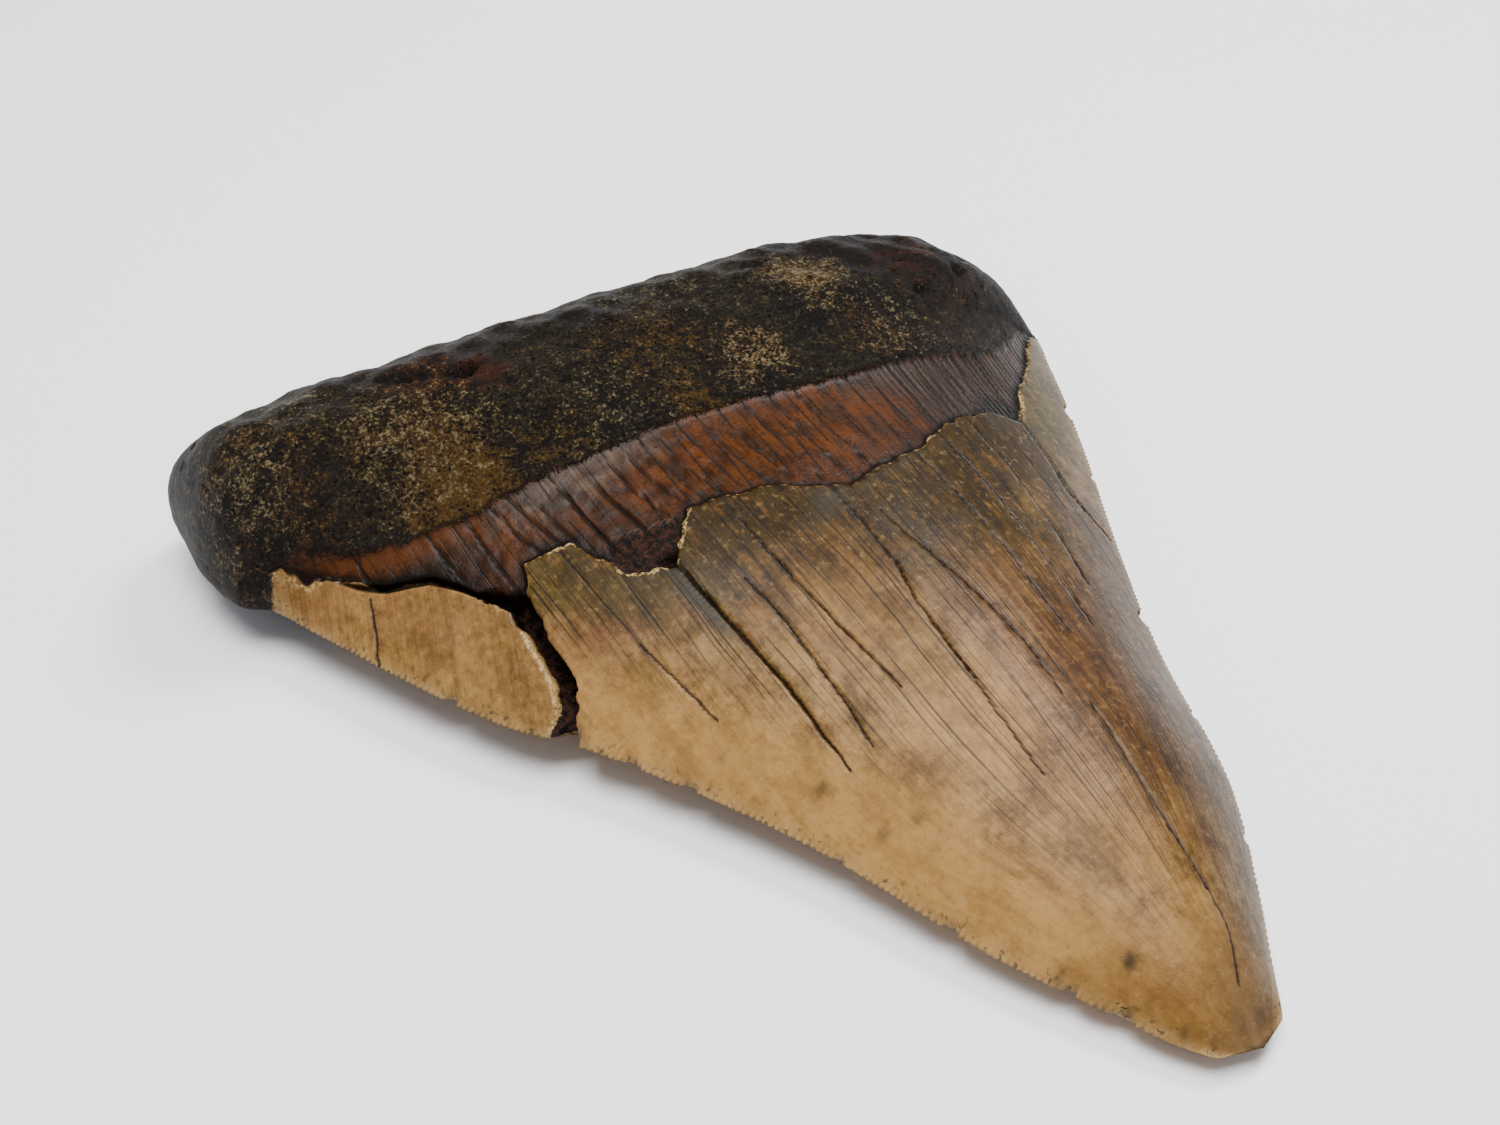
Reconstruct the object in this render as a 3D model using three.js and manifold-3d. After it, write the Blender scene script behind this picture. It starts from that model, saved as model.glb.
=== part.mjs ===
// A fossil megalodon tooth lying on its flat labial side: the domed lingual side looks up,
// the tip points to -Y and the two root lobes lie at +X and -X of +Y.
// Millimetres, +Z up. The tooth is drawn about the middle of the crown's shoulders, and the
// finished solid is then placed with the middle of its underside at the origin.

import * as THREE from 'three';
import { mergeVertices } from 'three/addons/utils/BufferGeometryUtils.js';
import Module from 'manifold-3d';

const wasm = await Module();
wasm.setup();

const { clamp, lerp, smoothstep } = THREE.MathUtils;

// Plan outline: [y, x] along both cutting edges and on round the root's ends
const tipY = -99;
const leftOutline = [
  [-99, -0.2], [-97.4, -3.2], [-89, -8.6], [-78.5, -14], [-60.8, -20.8], [-37.3, -34],
  [-29.5, -40.1], [-5.9, -51.6], [-0.2, -54.2], [3, -57.4], [12, -59.4], [19, -59.3],
  [22.5, -58.7], [25.2, -57], [26.7, -54.8], [27.5, -51.5],
];
const rightOutline = [
  [-99, 2], [-97.4, 4.8], [-73.3, 21.1], [-58.1, 26.5], [-8.1, 51.8], [0, 55],
  [5, 54.7], [13, 52.2], [18, 49.4], [27, 45],
];
// Basal edge of the root: [place across, y], from the left end (-1) to the right end (1)
const basalOutline = [
  [-1, 25.2], [-0.96, 26.9], [-0.88, 27.6], [-0.5, 28.9], [0.1, 31.2], [0.6, 30], [0.85, 25.2],
  [1, 16.5],
];

// Heights along the tooth: [y, z]
const rimHeights = [[-99, 2.4], [-80, 3.4], [-40, 5.2], [0, 6], [8, 7], [30, 9]];
const crestHeights = [
  [-99, 2.4], [-96, 4.8], [-90, 7.6], [-75, 12], [-25, 19.8], [-14, 20.8], [5, 24.4],
  [12, 23.8], [32, 11],
];
const labialHeights = [
  [-99, 2.4], [-94, -0.4], [-88, -0.2], [-78, 1], [-50, 2.4], [-20, 2.8], [6, 2.2], [30, 3.4],
];
// How square the lingual face stands in section: [y, power]
const lingualPowers = [[-98.6, 2], [-25, 2.1], [-5, 2.6], [5, 4], [30, 4]];

// Root
const rootStart = { from: -2, to: 6 };
const basalRound = 7;
// How far in from the rim the root rounds off, and its share of the crest's height: [x, value]
const rootRounds = [[-60, 8], [-30, 8], [20, 9], [56, 13]];
const rootShares = [[-60, 0.87], [-40, 0.97], [-10, 1], [16, 0.97], [40, 0.77], [55, 0.5]];
const leastInset = 1e-6;
const tipRound = { bow: 1.2, share: 0.03 };
const lobeSpread = { x: 14, y: 9 };
const lobes = [{ x: -35, y: 14, drop: 3.7 }, { x: 33, y: 10.5, drop: 4.5 }];

// Low swells of the skin: height on the root and crown, and the waves that make them
const rootLumps = 0.35;
const crownLumps = 0.04;
const swells = [
  { x: 0.31, y: 0.4, phase: 0, share: 0.6 },
  { x: 0.52, y: -0.27, phase: 2, share: 0.6 },
  { x: 1.05, y: 0.7, phase: 1, share: 0.4 },
  { x: 0.35, y: -1.1, phase: 0.5, share: 0.4 },
];

// Cutting edges
const serration = { pitch: 0.75, depth: 0.32, from: -97, to: -3 };

// Skin grid
const rowCount = 42;
const rowCrowding = 0.6;
const columnCount = 24;
const columnCrowding = 0.5;

// Bourlette: the bare band between the root and the enamel, outlined by [x, y]
const bourletteDepth = 0.45;
const rootLine = [
  [-52.8, 1.2], [-47.8, -0.6], [-39.9, -5.4], [-31.7, -8.5], [-19.3, -9.9], [-0.8, -10.9],
  [15.5, -12], [27.2, -10.6], [39.3, -9.2], [43.9, -6.9], [49.6, -3.4],
];
const enamelBorder = [
  [49.6, -4.8], [43.6, -12], [38.7, -16.3], [34.6, -21.8], [30.5, -20.5], [23.8, -22.1],
  [15.8, -26.1], [8.2, -27.9], [4.2, -29], [-1.7, -26.4], [-9.3, -23.4], [-14.1, -23.3],
  [-16.7, -26.7], [-18.1, -28.6], [-20.4, -27], [-22.8, -25.4], [-24.6, -20.6], [-24.9, -18.5],
  [-27.5, -17.6], [-30.5, -17], [-31.5, -19.5], [-34.1, -22.9], [-34.2, -20.2], [-37.2, -14.5],
  [-42.6, -8.9], [-45.8, -5.2], [-49.2, -2.2],
];

// Dry splits across the bourlette, each from its root side to its enamel side
const splitSize = { width: 0.5, depth: 0.9 };
const splits = [
  [[-28.6, -9.2], [-26, -17.6]], [[-23.4, -9.8], [-20.6, -19.6]], [[-20.4, -10], [-17.2, -20.6]],
  [[-14.9, -10.4], [-12.5, -22.4]], [[-7.8, -10.8], [-6.3, -23.6]], [[-2.3, -11.1], [-0.7, -26]],
];

// Broken places: a flake lost below the bourlette and the gap at the left shoulder
const flake = {
  depth: 1.3,
  outline: [
    [-22.4, -20.8], [-23.2, -23.2], [-22.8, -24.8], [-22.3, -25.9], [-21, -26.6], [-19.8, -27.2],
    [-18.1, -28.5], [-16.7, -26.6], [-15.6, -25.3], [-14.2, -23.4], [-15.4, -22.6],
    [-17.4, -22.3], [-19.8, -21.4],
  ],
};
const shoulderGap = {
  depth: 3.4,
  outline: [
    [-37.4, -37.6], [-36.9, -33.7], [-35, -32.8], [-34.2, -30.4], [-34.1, -27.6], [-34, -20.7],
    [-36.6, -15.7], [-34.9, -16.9], [-31.8, -20.3], [-32.3, -26], [-32.2, -32.2], [-34.1, -35.1],
    [-34.2, -37.6],
  ],
};

// Drying cracks that run down the enamel, and one along the left shoulder's enamel
const cracks = [
  { width: 0.65, depth: 1, path: [[-18.2, -27], [-17.4, -33.1], [-16.3, -40.6], [-15.3, -56.9]] },
  { width: 0.35, depth: 0.6, path: [[-13, -34.1], [-12.2, -45], [-12.5, -57.2]] },
  { width: 0.4, depth: 0.6, path: [[-9.4, -23.8], [-9.2, -32.8], [-8.4, -41], [-7, -54.2]] },
  { width: 0.45, depth: 0.7, path: [[1.7, -27.6], [1.6, -41], [-0.2, -54.8], [-1.4, -69.8]] },
  { width: 0.4, depth: 0.6, path: [[4.5, -33.9], [6.5, -45.9], [7.3, -56.8], [6.4, -63]] },
  { width: 0.4, depth: 0.6, path: [[8.5, -64.8], [7, -73.9], [5.2, -88.5], [1.9, -94.3]] },
  { width: 0.45, depth: 0.7, path: [[34.9, -21.3], [34, -27.9], [32.5, -33.8], [32.9, -38.9]] },
  { width: 1.1, depth: 1.6, path: [[-47.4, -4], [-43.6, -8.2], [-39.4, -11], [-35.6, -17]] },
];

// Hollows in the root: centre, half sizes and turn in plan, in degrees
const rootHollows = [
  { at: [-29.6, 9.6, 24.5], half: [7, 1.3, 1.6], turn: -19 },
  { at: [-25.6, 7.6, 24.6], half: [1.8, 1.4, 2.8], turn: -10 },
  { at: [17.2, 11.6, 24.4], half: [3.4, 1.6, 1.6], turn: 8 },
  { at: [35, 5.2, 22.8], half: [1.8, 1.3, 1.6], turn: 20 },
  { at: [34.9, -0.9, 20.6], half: [1.4, 1.2, 1.4], turn: 0 },
  { at: [43.1, 2.1, 19.4], half: [1.6, 1.2, 1.3], turn: 40 },
  { at: [-61.6, 8, 10.5], half: [3.2, 9, 2.2], turn: -8 },
  { at: [2, 31.4, 13], half: [9, 2.6, 3.4], turn: 0 },
];

// Underside: the enamel reaches further up the labial face, and the root lies a little lower
const labialDepth = 0.4;
const labialBorder = [
  [-62, -0.5], [-52, -1.5], [-40, -2], [-25, 1], [-10, 4.6], [4, 5.6], [20, 2.6], [38, -3],
  [50, -4.5], [62, -4],
];
const rootReach = 50;

// Upright blocks used for cutting reach past the tooth on every side
const blockHeight = 60;
const blockFloor = -10;
const joinDistance = 0.02;

// Finish
const enamelColour = 0xa88a64;
const enamelRoughness = 0.42;

// Smooth value through [place, value] pairs that never swings past its neighbours
function smoothThrough(pairs) {
  const last = pairs.length - 1;
  const rises = [];
  for (let i = 0; i < last; i += 1) {
    rises.push((pairs[i + 1][1] - pairs[i][1]) / (pairs[i + 1][0] - pairs[i][0]));
  }
  const slopes = pairs.map((pair, i) => {
    if (i === 0) return rises[0];
    if (i === last) return rises[last - 1];
    const before = rises[i - 1];
    const after = rises[i];
    return before * after <= 0 ? 0 : (2 * before * after) / (before + after);
  });
  return (place) => {
    const at = clamp(place, pairs[0][0], pairs[last][0]);
    let i = 0;
    while (i < last - 1 && at > pairs[i + 1][0]) i += 1;
    const span = pairs[i + 1][0] - pairs[i][0];
    const t = (at - pairs[i][0]) / span;
    const ease = t * t * (3 - 2 * t);
    const leave = t * (1 - t) * (1 - t) * span * slopes[i];
    const arrive = t * t * (1 - t) * span * slopes[i + 1];
    return lerp(pairs[i][1], pairs[i + 1][1], ease) + leave - arrive;
  };
}

const leftEdge = smoothThrough(leftOutline);
const rightEdge = smoothThrough(rightOutline);
const basalEdge = smoothThrough(basalOutline);
const rimHeight = smoothThrough(rimHeights);
const crestHeight = smoothThrough(crestHeights);
const labialHeight = smoothThrough(labialHeights);
const lingualPower = smoothThrough(lingualPowers);
const rootRound = smoothThrough(rootRounds);
const rootShare = smoothThrough(rootShares);

function lumps(x, y) {
  const size = lerp(crownLumps, rootLumps, smoothstep(y, rootStart.from, rootStart.to));
  const wave = (swell) => swell.share * Math.sin(swell.x * x + swell.y * y + swell.phase);
  return size * swells.reduce((sum, swell) => sum + wave(swell), 0);
}

// How far the two root lobes swell below the labial face
function lobeDrop(x, y) {
  return lobes.reduce((sum, lobe) => {
    const offX = (x - lobe.x) / lobeSpread.x;
    const offY = (y - lobe.y) / lobeSpread.y;
    return sum + lobe.drop * Math.exp(-offX * offX - offY * offY);
  }, 0);
}

// One place on the skin: its plan, how full the section is there, and its two heights.
// across runs from -1 to 1 between the cutting edges and along from 0 at the tip to 1 at the root.
function skinPlace(across, along) {
  const startY = tipY + tipRound.bow * across * across;
  const endY = basalEdge(across);
  const y = lerp(startY, endY, along);
  const x = lerp(leftEdge(y), rightEdge(y), (across + 1) / 2);
  const rim = rimHeight(y);
  const inRoot = clamp((y - rootStart.from) / (rootStart.to - rootStart.from), 0, 1);
  const bulge = 1 - Math.abs(across) ** lingualPower(y);
  const fromBase = clamp((endY - y) / basalRound, 0, 1);
  const base = Math.sqrt(1 - (1 - fromBase) ** 2);
  const tip = Math.sin((Math.min(along / tipRound.share, 1) * Math.PI) / 2);
  const fromSide = Math.max(Math.min(x - leftEdge(y), rightEdge(y) - x), 0);
  const toEnd = Math.max(endY - y, 0);
  const fromRim = (fromSide * toEnd) / Math.hypot(fromSide, toEnd, leastInset);
  const rounded = Math.sqrt(1 - (1 - Math.min(fromRim / rootRound(x), 1)) ** 2);
  const full = lerp(bulge * base * tip, rounded, inRoot);
  const rise = (crestHeight(y) - rim) * lerp(1, rootShare(x), inRoot);
  return {
    x,
    y,
    lingual: rim + (rise + lumps(x, y)) * full,
    labial: rim - (rim - labialHeight(y) + lobeDrop(x, y)) * full,
  };
}

// Row and column places, crowded towards the tip, the basal edge and both cutting edges
function rowPlace(row) {
  const t = row / rowCount;
  return t - (rowCrowding * Math.sin(2 * Math.PI * t)) / (2 * Math.PI);
}

function columnPlace(column) {
  const t = (2 * column) / columnCount - 1;
  return lerp(t, Math.sin((t * Math.PI) / 2), columnCrowding);
}

// Points of one cutting edge between two rows, stepping in and out along the serrations
function edgePoints(sideSign, row, height) {
  const from = rowPlace(row);
  const to = rowPlace(row + 1);
  const start = skinPlace(sideSign, from);
  const end = skinPlace(sideSign, to);
  const middle = (start.y + end.y) / 2;
  const serrated = middle > serration.from && middle < serration.to;
  const length = Math.hypot(end.x - start.x, end.y - start.y);
  const steps = serrated ? 2 * Math.max(1, Math.round(length / serration.pitch)) : 1;
  const inner = skinPlace(sideSign * columnPlace(columnCount - 1), from);
  const notch = Math.min(serration.depth, Math.abs(start.x - inner.x) / 2);
  const points = [];
  for (let i = 0; i <= steps; i += 1) {
    const place = skinPlace(sideSign, lerp(from, to, i / steps));
    const inset = serrated && i % 2 === 1 ? notch : 0;
    points.push(new THREE.Vector3(place.x - sideSign * inset, place.y, place[height]));
  }
  return points;
}

// Triangles of one face of the tooth, from edge to edge and from tip to root
function skinTriangles(height) {
  const corners = [];
  const point = (column, row) => {
    const place = skinPlace(columnPlace(column), rowPlace(row));
    return new THREE.Vector3(place.x, place.y, place[height]);
  };
  const face = (a, b, c) => {
    if (height === 'lingual') corners.push(a, b, c);
    else corners.push(a, c, b);
  };
  for (let row = 0; row < rowCount; row += 1) {
    for (let column = 1; column < columnCount - 1; column += 1) {
      const a = point(column, row);
      const b = point(column + 1, row);
      const c = point(column + 1, row + 1);
      const d = point(column, row + 1);
      if (column * 2 < columnCount) {
        face(a, b, c);
        face(a, c, d);
      } else {
        face(a, b, d);
        face(b, c, d);
      }
    }
    for (const sideSign of [-1, 1]) {
      const inner = sideSign < 0 ? 1 : columnCount - 1;
      const low = point(inner, row);
      const high = point(inner, row + 1);
      const edge = edgePoints(sideSign, row, height);
      const steps = edge.length - 1;
      let turnAt = Math.floor(edge.length / 2);
      if (row === 0) turnAt = 0;
      if (row === rowCount - 1) turnAt = steps;
      const fan = (a, b, c) => (sideSign < 0 ? face(a, c, b) : face(a, b, c));
      for (let i = 0; i < steps; i += 1) {
        fan(i < turnAt ? low : high, edge[i], edge[i + 1]);
      }
      fan(low, edge[turnAt], high);
    }
  }
  return corners;
}

function solidOf(geometry) {
  const bare = geometry.clone();
  bare.deleteAttribute('normal');
  bare.deleteAttribute('uv');
  const merged = mergeVertices(bare);
  const vertProperties = new Float32Array(merged.getAttribute('position').array);
  const triVerts = new Uint32Array(merged.getIndex().array);
  return new wasm.Manifold(new wasm.Mesh({ numProp: 3, vertProperties, triVerts }));
}

// Geometry of a solid, its points joined where cuts leave them closer than a cut's own accuracy
function geometryOf(solid) {
  const mesh = solid.getMesh();
  const raw = new THREE.BufferGeometry();
  raw.setAttribute('position', new THREE.BufferAttribute(mesh.vertProperties, 3));
  raw.setIndex(new THREE.BufferAttribute(mesh.triVerts, 1));
  const joined = mergeVertices(raw, joinDistance);
  const corners = joined.getIndex().array;
  const kept = [];
  for (let i = 0; i < corners.length; i += 3) {
    const [a, b, c] = corners.slice(i, i + 3);
    if (a !== b && b !== c && c !== a) kept.push(a, b, c);
  }
  return joined.setIndex(kept);
}

// The whole tooth before anything is cut into it
function toothSkin() {
  const corners = [...skinTriangles('lingual'), ...skinTriangles('labial')];
  return new THREE.BufferGeometry().setFromPoints(corners);
}

function blockOver(outline) {
  const shape = new THREE.Shape(outline.map(([x, y]) => new THREE.Vector2(x, y)));
  const block = new THREE.ExtrudeGeometry(shape, { depth: blockHeight, bevelEnabled: false });
  return block.translate(0, 0, blockFloor);
}

// Sinks the skin by a depth inside an outline; a negative depth raises the underside
function recess(tooth, skin, outline, depth) {
  const kept = solidOf(skin.clone().translate(0, 0, -depth));
  return tooth.subtract(solidOf(blockOver(outline)).subtract(kept));
}

// Outline of a crack: its path widened most in the middle and drawn to points at both ends
function crackOutline({ width, path }) {
  const places = path.map(([x, y]) => new THREE.Vector2(x, y));
  const curve = new THREE.SplineCurve(places);
  const stepCount = 2 * (path.length - 1);
  const oneSide = [];
  const otherSide = [];
  for (let i = 1; i < stepCount; i += 1) {
    const t = i / stepCount;
    const middle = curve.getPoint(t);
    const along = curve.getTangent(t);
    const half = (width / 2) * Math.sqrt(Math.sin(Math.PI * t));
    oneSide.push([middle.x - along.y * half, middle.y + along.x * half]);
    otherSide.unshift([middle.x + along.y * half, middle.y - along.x * half]);
  }
  return [path[0], ...oneSide, path[path.length - 1], ...otherSide];
}

function hollow({ at, half, turn }) {
  const ball = new THREE.SphereGeometry(1, 10, 6);
  ball.scale(...half);
  ball.rotateZ(THREE.MathUtils.degToRad(turn));
  return ball.translate(...at);
}

function buildTooth() {
  const skin = toothSkin();
  let tooth = solidOf(skin);
  tooth = recess(tooth, skin, [...rootLine, ...enamelBorder], bourletteDepth);
  tooth = recess(tooth, skin, flake.outline, flake.depth);
  tooth = recess(tooth, skin, shoulderGap.outline, shoulderGap.depth);
  const allCracks = [...cracks, ...splits.map((path) => ({ ...splitSize, path }))];
  for (const crack of allCracks) {
    tooth = recess(tooth, skin, crackOutline(crack), crack.depth);
  }
  const labialRoot = [...labialBorder, [2 * rootReach, rootReach], [-2 * rootReach, rootReach]];
  tooth = recess(tooth, skin, labialRoot, -labialDepth);
  for (const place of rootHollows) {
    tooth = tooth.subtract(solidOf(hollow(place)));
  }
  // flats where the tooth bears on the ground
  const ground = new THREE.BoxGeometry(4 * rootReach, 5 * rootReach, -blockFloor);
  ground.translate(0, 0, blockFloor / 2);
  tooth = tooth.subtract(solidOf(ground));
  return geometryOf(tooth);
}

const toothMaterial = new THREE.MeshStandardMaterial({
  color: enamelColour,
  roughness: enamelRoughness,
  metalness: 0,
});

const toothGeometry = buildTooth();
toothGeometry.computeBoundingBox();
const box = toothGeometry.boundingBox;

const toothMesh = new THREE.Mesh(toothGeometry, toothMaterial);
toothMesh.name = 'tooth';
toothMesh.position.set(-(box.min.x + box.max.x) / 2, -(box.min.y + box.max.y) / 2, -box.min.z);

const part = new THREE.Group();
part.add(toothMesh);

export default part;
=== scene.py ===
import math

import bmesh
import bpy
import numpy as np
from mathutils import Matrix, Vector, noise


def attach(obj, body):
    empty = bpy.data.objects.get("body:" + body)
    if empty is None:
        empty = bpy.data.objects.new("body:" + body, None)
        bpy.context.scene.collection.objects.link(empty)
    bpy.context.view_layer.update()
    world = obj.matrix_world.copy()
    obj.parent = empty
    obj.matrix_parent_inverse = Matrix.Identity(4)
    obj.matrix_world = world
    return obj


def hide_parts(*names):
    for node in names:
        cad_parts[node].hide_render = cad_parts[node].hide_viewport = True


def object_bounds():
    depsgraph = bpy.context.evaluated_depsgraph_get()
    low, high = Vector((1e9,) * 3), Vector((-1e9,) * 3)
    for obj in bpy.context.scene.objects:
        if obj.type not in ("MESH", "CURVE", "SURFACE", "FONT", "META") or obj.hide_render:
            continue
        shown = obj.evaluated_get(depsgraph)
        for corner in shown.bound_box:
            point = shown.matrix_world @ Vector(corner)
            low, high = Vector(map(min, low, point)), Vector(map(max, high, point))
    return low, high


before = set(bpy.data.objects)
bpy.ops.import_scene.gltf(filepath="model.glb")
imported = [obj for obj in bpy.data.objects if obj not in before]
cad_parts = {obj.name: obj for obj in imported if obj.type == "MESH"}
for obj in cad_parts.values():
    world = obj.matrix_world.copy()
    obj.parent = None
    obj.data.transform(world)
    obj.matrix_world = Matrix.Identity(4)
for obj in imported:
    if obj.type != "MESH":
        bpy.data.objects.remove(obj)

cadLow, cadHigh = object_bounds()

# The tooth is drawn in millimetres about the middle of the crown's shoulders, tip towards -Y,
# and moved into the frame at the end.
tooth = {
    "tipY": -99.0,
    "tipBow": 1.2,
    "tipShare": 0.03,
    "leftOutline": [  # y, x
        (-99, 0.6), (-98.4, -1.6), (-97.2, -3.6), (-89, -8.6), (-78.5, -14), (-60.8, -20.8),
        (-37.3, -34), (-29.5, -40.1), (-5.9, -51.6), (-0.2, -54.2), (3, -57.4), (12, -59.3),
        (19, -59.2), (22.5, -58.6), (25.2, -56.9), (26.7, -54.7), (27.5, -51.4)],
    "rightOutline": [
        (-99, 1.8), (-98.6, 3.4), (-97.6, 4.9), (-95.8, 6.3), (-73.3, 21.1), (-58.1, 26.5),
        (-8.1, 51.8), (0, 54.9), (5, 54.6), (13, 52.1), (18, 49.3), (27, 44.9)],
    "basalOutline": [  # place across, y
        (-1, 25.1), (-0.96, 26.8), (-0.88, 27.5), (-0.5, 28.8), (0.1, 31), (0.6, 29.8),
        (0.85, 25.1), (1, 16.5)],
    "rimHeights": [(-99, 2.4), (-80, 3.4), (-40, 5.2), (0, 6), (8, 7), (30, 9)],  # y, z
    "crestHeights": [
        (-99, 2.4), (-96, 4.8), (-90, 7.6), (-75, 12), (-25, 19.8), (-14, 20.8), (5, 24.4),
        (12, 23.8), (32, 11)],
    "labialHeights": [
        (-99, 2.4), (-94, -0.4), (-88, -0.2), (-78, 1), (-50, 2.4), (-20, 2.8), (6, 2.2),
        (30, 3.4)],
    "lingualPowers": [(-98.6, 2), (-25, 2.1), (-5, 2.6), (5, 4), (30, 4)],
    "rootStart": (-2, 6),
    "basalRound": 7.0,
    "rootRounds": [  # x, how far in from the rim the root rounds off
        (-60, 8), (-30, 8), (20, 9), (56, 13)],
    "rootShares": [  # x, share of the crest's height
        (-60, 0.87), (-40, 0.97), (-10, 1), (16, 0.97), (40, 0.77), (55, 0.5)],
    "lobeSpread": (14, 9),
    "lobes": [(-35, 14, 3.7), (33, 10.5, 4.5)],  # x, y, drop
    "rootLumps": 0.3,
    "crownLumps": 0.03,
    "swells": [(0.31, 0.4, 0, 0.6), (0.52, -0.27, 2, 0.6), (1.05, 0.7, 1, 0.4), (0.35, -1.1, 0.5, 0.4)],
}

# Fine make of the cutting edges
edges = {
    "pitch": 0.75,
    "depth": 0.22,
    "reach": 1.3,       # how far the serration ridges run up the faces
    "ridge": 0.09,
    "from": -96.5,
    "to": -3.0,
    "chips": [  # side, y, half width along y, depth
        (-1, -23.4, 0.9, 0.7), (-1, -41.4, 1.2, 0.5), (-1, -47.2, 1.0, 0.5), (-1, -62.5, 0.7, 0.4),
        (-1, -74.5, 1.1, 0.5), (-1, -85.6, 0.9, 0.6), (-1, -90.2, 1.2, 0.5), (1, -17.2, 1.6, 0.6),
        (1, -29.5, 0.7, 0.4), (1, -52.0, 1.3, 0.7), (1, -66.0, 0.8, 0.4), (1, -81.0, 0.9, 0.4),
        (-1, -34.9, 1.5, 1.8)],
}

# The borders of the bourlette, as x, y: the root's line above it and the enamel's ledge below
borders = {
    "rootLine": [
        (-55.5, -1.9), (-54.3, 0), (-53.2, 1), (-47.8, -1.1), (-40.2, -5.7), (-31.7, -8.5),
        (-26, -9), (-19.3, -9.9), (-10.7, -10.3), (-0.8, -10.9), (7.9, -11.8), (15.5, -12),
        (27.2, -10.6), (39.3, -9.2), (43.9, -6.9), (50.3, -2.7)],
    "enamelLine": [
        (-53.8, 1), (-49.2, -2.2), (-45.8, -5.2), (-44.8, -7.2), (-42.6, -8.9), (-39.7, -10.7),
        (-37.2, -14.5), (-34.2, -20.2), (-34.1, -22.9), (-31.5, -19.5), (-30.5, -17),
        (-27.5, -17.6), (-24.9, -18.5), (-24.6, -20.6), (-23.3, -23), (-22.9, -24.8),
        (-22.3, -25.9), (-21, -26.7), (-19.8, -27.3), (-18.1, -28.6), (-16.7, -26.7),
        (-15.6, -25.3), (-14.1, -23.4), (-13.2, -22.8), (-9.3, -23.4),
        (-4.9, -24.6), (-1.7, -26.4), (4.2, -29), (8.2, -27.9), (15.8, -26.1), (18.6, -24.5),
        (23.8, -22.1), (30.5, -20.5), (34.6, -21.8), (38.7, -16.3), (43.6, -12), (47.3, -8.4),
        (50.3, -4.6), (55.5, 0.5)],
    "labialLine": [
        (-62, -0.5), (-52, -1.5), (-40, -2), (-25, 1), (-10, 4.6), (4, 5.6), (20, 2.6), (38, -3),
        (50, -4.5), (62, -4)],
    "depth": 0.45,
    "labialDepth": 0.4,
    "rootSlope": 0.9,    # how far across the root's line the skin slopes down
    "ledge": 0.28,       # how far across a ledge its drop is spread
    "ragged": 0.42,
}

# Broken places, as outlines in plan
breaks = {
    "flake": [
        (-22.4, -20.8), (-23.2, -23.2), (-22.8, -24.8), (-22.3, -25.9), (-21, -26.6),
        (-19.8, -27.2), (-18.1, -28.5), (-16.7, -26.6), (-15.6, -25.3), (-14.2, -23.4),
        (-15.4, -22.6), (-17.4, -22.3), (-19.8, -21.4)],
    "flakeDepth": 0.32,
    "flakeHole": (-18.3, -27.2, 1.4, 1.5),  # x, y, radius, extra depth
    "gap": [
        (-37.4, -37.6), (-36.9, -33.7), (-35, -32.8), (-34.2, -30.4), (-34.1, -27.6), (-34, -20.7),
        (-36.6, -15.7), (-34.9, -16.9), (-31.8, -20.3), (-32.3, -26), (-32.2, -32.2),
        (-34.1, -35.1), (-34.7, -36.6)],
    "gapDepth": 3.4,
    "leastWall": 0.9,
}

# Cracks: width, depth and path in plan
cracks = [
    (0.4, 0.7, [(-18.2, -27), (-17.6, -31), (-17, -36), (-16.1, -43), (-15.6, -50), (-15.2, -57.5)]),
    (0.14, 0.25, [(-13, -34.1), (-12.3, -39), (-12.2, -45), (-12.2, -51), (-12.5, -57.2)]),
    (0.16, 0.3, [(-9.4, -23.8), (-9.3, -28), (-9.2, -32.8), (-8.5, -41), (-7.7, -48), (-7, -54.2)]),
    (0.2, 0.35, [(1.7, -27.6), (1.8, -34), (1.6, -41), (0.3, -46.4), (-0.2, -54.8), (-0.9, -62),
                 (-1.4, -69.8)]),
    (0.16, 0.3, [(4.5, -33.9), (5.4, -40), (6.5, -45.9), (7.1, -51), (7.3, -56.8), (6.4, -63)]),
    (0.2, 0.3, [(8.5, -64.8), (8, -69), (7, -73.9), (6, -80), (5.2, -88.5), (3.8, -91.5),
                 (1.9, -94.3)]),
    (0.3, 0.4, [(34.9, -21.3), (34.2, -27.9), (32.6, -33.8), (33.9, -40.4)]),
    (1.0, 1.4, [(-47.4, -4), (-45.4, -6.6), (-43.6, -8.4), (-41.5, -9.8), (-39.4, -11.2),
                (-37.4, -14), (-35.8, -16.8)]),
    (0.1, 0.12, [(-25.2, -33.3), (-24.1, -38), (-22.7, -44.6)]),
    (0.14, 0.2, [(-45.3, -8.1), (-46.2, -11), (-47.5, -14.5)]),
    (0.2, 0.3, [(14.5, -26.5), (14.9, -35), (14.6, -44), (13.6, -56)]),
    (0.16, 0.25, [(19.6, -24.2), (20.1, -33), (19.4, -43), (17.6, -55)]),
    (0.16, 0.25, [(25.8, -21.8), (25.9, -30), (24.6, -40), (22.4, -49)]),
]

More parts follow.
